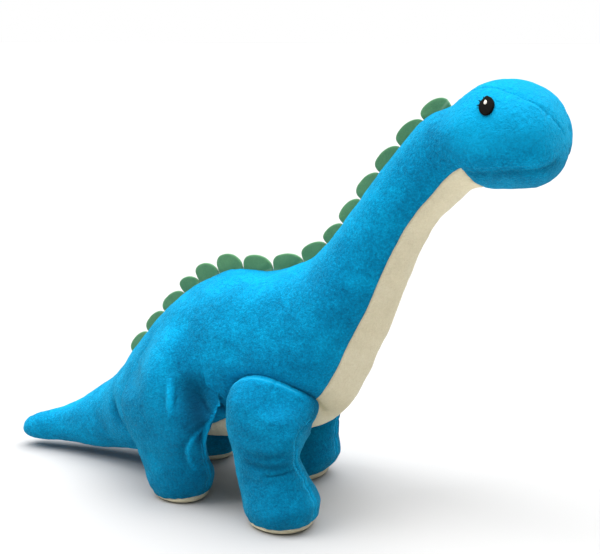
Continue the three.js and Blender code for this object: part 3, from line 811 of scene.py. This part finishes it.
# ---- legs ----
def build_leg(name, leg):
    shape = leg["shape"]
    levels = np.array(shape["levels"], float)
    levels[:, 1:3] += MIDDLE_X
    levels[:, 2] -= leg["trim"] * np.clip(1 - levels[:, 0] / 60, 0, 1)
    outline = rounded(shifted([shape])[0]["outline"], 0.5)
    outer_count, inner_count = int(84 / FINE), int(64 / FINE)
    crown = np.array(shape["crown"], float)

    # Rows of the lower leg, from the lowest point of the outline down to the sole's seam.
    lower = np.linspace(0, len(levels) - 1, 40 * len(levels))
    heights = smooth(levels[:, 0], lower)
    rows = np.arange(levels[0, 0], SOLE_SEAM, -1.25 * FINE)
    rows = np.append(rows, SOLE_SEAM)
    at_row = np.interp(-rows, -heights, lower)
    back, front, inner, outer = (smooth(levels[:, k], at_row) for k in range(1, 5))

    def half(count):
        """x, z and the edge's place, 0 at the back to 1 at the front, from the front edge to the back."""
        turn = np.linspace(0, math.pi, count + 1)
        share = (1 + np.cos(turn)) / 2
        low_x = back[:, None] + (front - back)[:, None] * share
        low_z = np.repeat(rows[:, None], count + 1, 1)
        run = np.linspace(0, 1, len(outline))
        even = 0.5 + 0.5 * np.cos(turn)
        even = 0.45 * even + 0.55 * (1 - turn / math.pi)
        top = spaced(even, run, outline)
        base = np.stack([low_x[0], low_z[0]], 1)
        steps = (np.linspace(0, 1, int(46 / FINE) + 1)[:-1] ** 1.7)[:, None, None]
        cap = top * (1 - steps) + base * steps
        x = np.concatenate([cap[..., 0], low_x])
        z = np.concatenate([cap[..., 1], low_z])
        return x, z, np.repeat(share[None], len(x), 0)

    sides = np.concatenate([
        np.stack([back[::-1], rows[::-1]], 1), outline, np.stack([front, rows], 1),
    ])

    def sheet(count, outwards):
        x, z, share = half(count)

        def level(values):
            return np.interp(z, rows[::-1], values[::-1])

        px = leg_place(leg, x, z)
        ahead = (share - 0.5) * level(front - back)
        pz = z - ahead * leg["tilt"] * np.clip(z / LEG_TOP, 0, 1) ** 2
        wide = body_half_width(px, pz)
        hug = step(*shape["hug"], z)
        middle = level((inner + outer) / 2)
        edge = middle + hug * (wide - 0.9 - middle)
        away, _ = path_distance(x, z, sides[::2])
        half_width = level((front - back) / 2)
        reach = np.clip(away / half_width, 0, 1)
        tube = (1 - (1 - reach) ** TUBE_POWER) ** (1 / TUBE_POWER)
        front_top = step(0.3, 0.75, share) * step(100, 120, z)
        near = np.clip(away / (shape["edge"] + (shape["flat"] - shape["edge"]) * front_top), 0, 1)
        soft = near**2 * (3 - 2 * near)
        round_power = TOP_POWER - TOP_POWER_LESS * front_top
        top = soft if shape["merges"] else (1 - (1 - near) ** round_power) ** (1 / round_power)
        rise = tube + hug * (top - tube)
        if outwards:
            full = np.interp(z, crown[:, 0], crown[:, 1])
            full = np.where(z < crown[0, 0], level(outer), full)
            y = edge + np.maximum(full - edge, 0) * rise
        else:
            full = level(inner)
            deep = np.minimum(full, wide - 12)
            full = full + step(66, 96, z) * (deep - full)
            y = edge - np.maximum(edge - full, 2) * rise
        pz = pz + TOE_LIFT * step(0.45, 1.0, share) * (1 - step(SOLE_SEAM, 13, z))
        return np.stack([px, -leg["mirror"] * y, pz], -1), x, z

    outside, inside = sheet(outer_count, True), sheet(inner_count, False)
    grid, own_x, own_z = (
        np.concatenate([a[:, :-1], b[:, ::-1][:, :-1]], 1) for a, b in zip(outside, inside)
    )
    height, width = grid.shape[:2]
    ids = numbered(height, width)
    if leg["mirror"] > 0:
        ids = ids[:, ::-1]
    quads = quads_of(ids[::-1])
    points = grid.reshape(-1, 3)
    normals = vertex_normals(points, quads.reshape(-1, 4))

    # Seams between the outer and the inner panel, along the front and the back, with painted shade in them
    # and a painted highlight beside them.
    closed = np.concatenate([grid, grid[:, :1]], 1)
    lengths = np.linalg.norm(np.diff(closed, axis=1), axis=2)
    run = np.concatenate([np.zeros((height, 1)), np.cumsum(lengths, 1)], 1)
    run, total = run[:, :-1], run[:, -1:]
    from_front = np.minimum(run, total - run)
    from_back = np.abs(run - run[:, outer_count:outer_count + 1])
    lift = stuffing(grid)
    dark = np.zeros(lift.shape)
    light = np.zeros(lift.shape)
    sewn = 1 - step(84, 118, own_z) * shape["merges"]
    for distance, seed in ((from_front, 21), (from_back, 22)):
        low, shade = seam_relief(distance, own_z, seed, depth=0.9, width=1.2, valley=0.8, pucker=0.3)
        lift += low * sewn
        dark = np.maximum(dark, 0.35 * shade * sewn)
        light = np.maximum(light, 1.0 * bell(distance - 1.9, 1.2) * sewn)
    outer_side = np.zeros(lift.shape, bool)
    outer_side[:, : outer_count + 1] = True
    # Creases of the leg's outer side, with painted shade in them.
    kind = "hind" if shape["merges"] else "front"
    low, shade = creased(own_x, own_z, shifted(LEG_CREASES[kind]))
    lift -= np.where(outer_side, low, 0)
    dark = np.maximum(dark, np.where(outer_side, shade, 0))
    if shape["merges"]:
        # Each ridge stands up, with a painted highlight along it.
        for fold in shifted(LEG_RIDGES):
            away, along = path_distance(own_x, own_z, rounded(fold["path"]))
            ridge = bell(away, fold["width"]) * np.sin(math.pi * np.clip(along, 0.05, 0.95)) ** 0.6
            lift += np.where(outer_side, fold["height"] * ridge, 0)
            light = np.maximum(light, np.where(outer_side, fold["light"] * ridge, 0))
    else:
        # A painted highlight along the front leg's top edge, and painted shade in its seam.
        away, along = path_distance(own_x, own_z, outline)
        fade = step(0.02, 0.15, along) * (1 - step(0.72, 0.9, along))
        light = np.maximum(light, 1.2 * bell(away - 1.2, 1.0) * outer_side * fade)
        dark = np.maximum(dark, 0.3 * bell(away, 0.7))
    # The sole's seam, with painted shade along it.
    low, shade = seam_relief(own_z - SOLE_SEAM, own_x, 23, depth=0.5, width=1.2, valley=0.3, pucker=0.15)
    lift += low
    dark = np.maximum(dark, 0.2 * shade)
    # Shade is painted over the legs, fully below 96 mm and fading out by 150 mm, less where a highlight is
    # painted.
    dark = dark + LEG_SHADE * (1 - step(96, 150, own_z)) * (1 - dark) * np.clip(1 - light, 0, 1)

    points = points + normals * lift.reshape(-1, 1)
    normals = vertex_normals(points, quads.reshape(-1, 4))
    painted_light_and_shade = (light - dark).ravel()

    body = f"{name}_leg"
    hinge = JOINTS[f"{name}_leg_swing"]["pos_m"]
    start, end = ((hinge[0], 0, z) for z in LEG_BENDS)
    columns_of = {"outer": np.arange(outer_count), "inner": np.arange(outer_count, width)}
    for panel, cells in columns_of.items():
        if leg["mirror"] > 0:
            cells = width - 1 - cells
        piece = make_piece(f"{name}_leg_{panel}_skin", points, normals, quads[:, cells].reshape(-1, 4),
                           painted_light_and_shade, BLUE)
        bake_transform(piece)
        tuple(start)
        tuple(end)
        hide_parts(f"{name}_leg_{panel}")
        if panel == "outer":
            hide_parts(f"{name}_leg_filling")
    build_sole(name, leg, grid[-1], body)


def build_sole(name, leg, rim, body):
    """The cream sole: a puffed disc, whose edge is tucked in behind the leg's lowest row."""
    centre = rim.mean(0)
    rings = []
    for share, rise in [(0.97, 1.5)] + SOLE_PROFILE + [(s, 0.0) for s in (0.6, 0.45, 0.3, 0.12)]:
        ring = centre + (rim - centre) * share
        ring[:, 2] = rim[:, 2] * rise
        rings.append(ring)
    grid = np.array(rings)
    height, width = grid.shape[:2]
    points = np.concatenate([grid.reshape(-1, 3), [[centre[0], centre[1], 0]]])
    ids = numbered(height, width)
    middle = np.full((1, width + 1), height * width)
    ids = np.concatenate([ids, middle])
    if leg["mirror"] > 0:
        ids = ids[:, ::-1]
    quads = quads_of(ids[::-1]).reshape(-1, 4)
    normals = vertex_normals(points, quads)
    sideways = bell(points[:, 2] - 2.5, 1.5)[:, None]
    points = points + normals * sideways * (0.1 * ripple(points, 9, 31))[:, None]
    normals = vertex_normals(points, quads)
    painted_light_and_shade = np.zeros(len(points))
    piece = make_piece(f"{name}_sole_pad", points, normals, quads, painted_light_and_shade, CREAM)
    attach(piece, body)
    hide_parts(f"{name}_sole")


for leg_name, leg_shape in LEGS.items():
    build_leg(leg_name, leg_shape)


# ---- crest ----
def surface_point(u, angle, out):
    """A point some mm off the body's surface."""
    u, angle = np.asarray(u, float), np.asarray(angle, float)
    nudge = 0.01
    along = body_point(np.minimum(u + nudge, LAST_RING), angle) - body_point(u - nudge, angle)
    around = body_point(u, angle + nudge) - body_point(u, angle - nudge)
    normal = np.cross(around, along)
    normal /= np.linalg.norm(normal, axis=-1, keepdims=True)
    return body_point(u, angle) + normal * np.asarray(out, float)[..., None]


def ring_along_back():
    """A function from a distance along the spine, from the first scallop's start, to a ring number."""
    fine = np.linspace(0, LAST_RING, 4000)
    spine = body_point(fine, np.zeros_like(fine))
    run = run_along(spine)
    start = np.interp(CREST_FROM_X + MIDDLE_X, spine[:, 0], run)
    return lambda distance: np.interp(distance + start, run, fine)


def build_crest():
    place_at = ring_along_back()
    start = 0.0
    for number, pitch in enumerate(SCALLOP_WIDTHS, 1):
        height = np.interp(number, *SCALLOP_HEIGHT.T)
        build_scallop(number, start + SCALLOP_SPACE / 2, pitch - SCALLOP_SPACE, height, place_at)
        start += pitch


def build_scallop(number, first, width, height, place_at):
    """One felt scallop: a flat petal with softly rounded edges, its foot sewn into the spine seam."""
    arc = int(56 / FINE)
    turn = np.linspace(0, math.pi, arc + 1)
    rise = np.clip(np.sin(turn), 0, 1) ** 0.8
    swing = np.sign(np.cos(turn)) * np.abs(np.cos(turn)) ** 0.9
    along = first + width * (0.5 - 0.5 * swing) - SCALLOP_LEAN * rise**2
    above = (height + 0.7) * rise
    steps = np.linspace(-SCALLOP_FOOT, 0, 4)[:-1]
    along = np.concatenate([np.full(3, first), along, np.full(3, first + width)])
    above = np.concatenate([steps, above, steps[::-1]])
    middle_along, middle_above = along.mean(), -SCALLOP_FOOT
    # From one face over the rounded edge to the other: how much of the outline is left, and the side.
    half = FELT / 2
    face = [(0.0, 1), (0.3, 1), (0.6, 1), (0.85, 1), (0.94, 0.97), (0.985, 0.72), (1.0, 0.3)]
    layers = [(share, half * side) for share, side in face]
    layers += [(share, -half * side) for share, side in face[::-1]]
    random = np.random.default_rng(40 + number)
    curl = random.uniform(-0.8, 0.8)
    rows = []
    for share, side in layers:
        a = middle_along + (along - middle_along) * share
        h = middle_above + (above - middle_above) * share
        p = surface_point(place_at(a), np.zeros(len(a)), h)
        p[:, 1] = side + curl * np.clip(h / height, 0, 1) ** 2
        rows.append(p)
    grid = np.array(rows)
    grid[..., 1] += 0.12 * ripple(grid, 8, 50 + number)
    points = grid.reshape(-1, 3)
    ids = np.arange(len(points)).reshape(grid.shape[:2])
    ids[0, :] = ids[0, 0]
    ids[-1, :] = ids[-1, 0]
    quads = quads_of(ids).reshape(-1, 4)
    normals = vertex_normals(points, quads)
    outwards = points - points.mean(0)
    quads, normals = turned(quads, normals, (normals * outwards).sum() < 0)
    # A highlight is painted along the felt's rounded edge and near its foot.
    shares = np.repeat([share for share, _ in layers], grid.shape[1])
    near_foot = np.tile(above, len(layers)) * shares
    painted_light_and_shade = 0.08 * step(0.95, 1.0, shares) + 0.45 * bell(near_foot - 0.5, 0.8)
    piece = make_piece(f"crest_felt_{number:02d}", points, normals, quads, painted_light_and_shade, GREEN)
    middle_ring = float(place_at(first + width / 2))
    bend_at(piece, stretch_of(middle_ring))
    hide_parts(f"crest_scallop_{number:02d}")


build_crest()


# ---- eyes ----
def head_frame(side):
    """A function to points some mm behind, above and off the middle of an eye."""
    ring, angle = EYE["ring"], math.radians(EYE["angle"])

    def apart(ring_step, angle_step):
        ends = [body_point(np.array(ring + k * ring_step), np.array(angle + k * angle_step)) for k in (1, -1)]
        return np.linalg.norm(ends[0] - ends[1])

    per_ring, per_radian = apart(0.5, 0), apart(0, 0.5)

    def place(back, up, out):
        return surface_point(ring - back / per_ring, side * (angle - up / per_radian), out)
    return place


def stitched(name, place, side, outline, layers, threads, ridge, material, node, slant=0.0):
    """A satin-stitched patch: a low dome inside an outline, with the thread's ridges across it."""
    count = int(72 / FINE)
    turn = np.linspace(0, TURN, count + 1)[:-1]
    shape_back, shape_up = outline(turn)
    centre_back, centre_up = shape_back.mean(), shape_up.mean()
    rows = []
    for share, out in layers:
        back = centre_back + (shape_back - centre_back) * share
        up = centre_up + (shape_up - centre_up) * share
        wave = np.abs(np.sin(math.pi * threads * (up + slant * back)))
        rows.append(place(back, up, out + ridge * wave * (0.2 < out)))
    grid = np.array(rows)
    points = grid.reshape(-1, 3)
    ids = numbered(*grid.shape[:2])
    ids[-1, :] = ids[-1, 0]
    quads = quads_of(ids).reshape(-1, 4)
    normals = vertex_normals(points, quads)
    facing = place(centre_back, centre_up, 5) - place(centre_back, centre_up, 0)
    quads, normals = turned(quads, normals, (normals[ids[-1, 0]] * facing).sum() < 0)
    piece = make_piece(name, points, normals, quads, np.zeros(len(points)), material)
    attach(piece, "head")
    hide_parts(node)


def build_eye(label, side):
    place = head_frame(side)
    inner = zip(np.linspace(0.93, 0.0, 16), np.linspace(1.0, 1.35, 16))
    dome = [(1.0, -1.6), (1.0, 0.1), (0.99, 0.55), (0.96, 0.85), *inner]

    def oval(turn):
        peak = 1.5 * bell((turn - 0.48 * math.pi), 0.3)
        return EYE["long"] * np.cos(turn), EYE["tall"] * np.sin(turn) + peak

    stitched(f"eye_{label}_satin", place, side, oval, dome, 1.9, 0.13, BLACK, f"eye_{label}")
    glint = [(1.0, 0.9), (1.0, 1.45), (0.92, 1.8), (0.75, 1.95), (0.5, 2.0), (0.25, 2.0), (0.0, 2.0)]
    stitched(f"glint_{label}_satin", place, side,
             lambda t: (0.3 + 1.25 * np.cos(t), 1.9 + (2.0 + 0.5 * np.sin(t)) * np.sin(t)),
             glint, 2.2, 0.1, WHITE, f"eye_glint_{label}")
    build_lashes(label, place)


def build_lashes(label, place):
    """Three short satin-stitched spikes behind the eye's upper edge, in one piece of thread."""
    points, quads = [], []
    for turn_degrees, reach in ((112, 3.0), (140, 3.6), (166, 3.0)):
        turn = math.radians(turn_degrees)
        root = np.array([-EYE["long"] * math.cos(turn), EYE["tall"] * math.sin(turn)]) * 0.93
        way = np.array([-math.cos(turn), math.sin(turn)])
        across = np.array([-way[1], way[0]])
        steps, sides = 10, 10
        base = len(points)
        for i in range(steps + 1):
            t = i / steps
            radius = 0.75 * (1 - t) ** 0.7 + 0.05
            for k in range(sides):
                a = TURN * k / sides
                flat = root + way * reach * t + across * radius * math.cos(a)
                points.append(place(flat[0], flat[1], 0.35 + 0.45 * radius * math.sin(a)))
        for i in range(steps):
            for k in range(sides):
                n = (k + 1) % sides
                quads.append([base + i * sides + k, base + i * sides + n,
                              base + (i + 1) * sides + n, base + (i + 1) * sides + k])
        tip = base + steps * sides
        foot = base
        for k in range(1, sides - 1):
            quads.append([tip, tip + k, tip + k + 1, tip + k + 1])
            quads.append([foot, foot + k + 1, foot + k, foot + k])
    points, quads = np.array(points), np.array(quads)
    normals = vertex_normals(points, quads)
    first = points[:10].mean(0)
    quads, normals = turned(quads, normals, (normals[:10] * (points[:10] - first)).sum() < 0)
    piece = make_piece(f"lashes_{label}_stitch", points, normals, quads, np.zeros(len(points)),
                       BLACK)
    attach(piece, "head")
    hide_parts(f"eye_lashes_{label}")


for eye_label, eye_side in (("right", 1), ("left", -1)):
    build_eye(eye_label, eye_side)


# ---- floor, light and camera ----
ROOM_LIGHT, KEY_LIGHT, TOP_LIGHT = 0.24, 2.3, 5.2


def build_floor():
    mesh = bpy.data.meshes.new("floor")
    size = 60.0
    corners = [(x * size, y * size, 0) for x, y in ((-1, -1), (1, -1), (1, 1), (-1, 1))]
    mesh.from_pydata(corners, [], [(0, 1, 2, 3)])
    floor = placed("floor", mesh)
    floor.location.z = -0.0006
    material, _, shader = node_tree("floor_paper")
    fill(shader, Base_Color=(0.46, 0.46, 0.46, 1), Roughness=0.9, Specular_IOR_Level=0.1)
    mesh.materials.append(material)


def add_light(name, way, strength, softness):
    """Light from a far, wide source that lies along a direction from the toy."""
    data = bpy.data.lights.new(name, "SUN")
    data.angle = softness
    data.energy = strength
    light = placed(name, data)
    light.rotation_euler = Vector(way).to_track_quat("Z", "Y").to_euler()


def build_light():
    """Soft light from above on the left, in a pale room whose backdrop is white."""
    world = bpy.data.worlds.new("studio")
    bpy.context.scene.world = world
    world.use_nodes = True
    tree = world.node_tree
    background = tree.nodes["Background"]
    background.inputs["Color"].default_value = (1, 1, 1, 1)
    seen = add_node(tree, "ShaderNodeLightPath").outputs["Is Camera Ray"]
    tree.links.new(spread(tree, seen, 0, 1, ROOM_LIGHT, 1.0), background.inputs["Strength"])
    add_light("key", (-0.62, -0.5, 1.2), KEY_LIGHT, math.radians(38))
    add_light("top", (0.1, 0.2, 1.0), TOP_LIGHT, math.radians(65))
    bpy.context.scene.view_settings.view_transform = "Standard"


def build_camera():
    data = bpy.data.cameras.new("camera")
    data.sensor_width = 36
    data.lens = 64.8
    camera = placed("camera", data)
    camera.location = (0.5338, -0.8455, 0.4344)
    target = Vector((MIDDLE_X * MM, 0, 0.218))
    camera.rotation_euler = (target - camera.location).to_track_quat("-Z", "Y").to_euler()
    bpy.context.scene.camera = camera


build_floor()
build_light()
build_camera()
